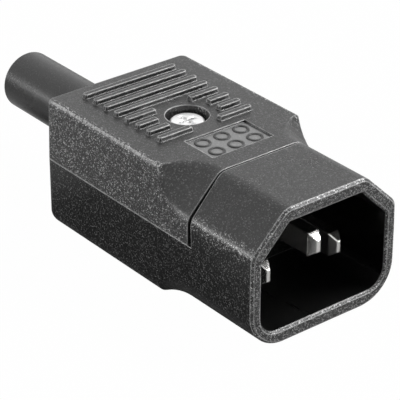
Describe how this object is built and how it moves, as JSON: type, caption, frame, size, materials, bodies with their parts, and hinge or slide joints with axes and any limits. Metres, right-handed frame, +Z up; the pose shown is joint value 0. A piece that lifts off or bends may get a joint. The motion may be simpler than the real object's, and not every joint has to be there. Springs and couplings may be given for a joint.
{
  "type": "power plug",
  "caption": "Rewirable rectangular power inlet plug with a hooded mouth, flat contact pins, ribbed screw-down cover and a round rear cord boot.",
  "frame": {"origin": "on the base plane, under the middle of the whole length from boot end to mouth", "axes": "+X along the plug towards its mouth, +Y across it towards the neutral pin, +Z up from the lower shell to the cover"},
  "size_m": [0.078, 0.0284, 0.0231],
  "materials": {
    "shell_plastic": "black moulded thermoplastic with a fine spark-eroded grain",
    "boot_rubber": "smooth soft black moulding",
    "carrier_plastic": "plain black moulding",
    "pin_plating": "nickel-plated brass, slightly dull",
    "screw_steel": "zinc-plated steel",
    "saddle_steel": "plated steel strip",
    "insert_brass": "turned brass",
    "clamp_plastic": "plain dark moulding"
  },
  "bodies": {
    "root": {"lower_shell": "shell_plastic", "upper_cover": "shell_plastic", "pin_carrier": "carrier_plastic", "live_pin": "pin_plating", "neutral_pin": "pin_plating", "earth_pin": "pin_plating", "live_saddle": "saddle_steel", "neutral_saddle": "saddle_steel", "earth_saddle": "saddle_steel", "terminal_screws": "screw_steel", "cover_screw": "screw_steel", "cover_insert": "insert_brass", "cord_clamp": "clamp_plastic", "clamp_screws": "screw_steel", "cord_boot": "boot_rubber"}
  },
  "joints": []
}
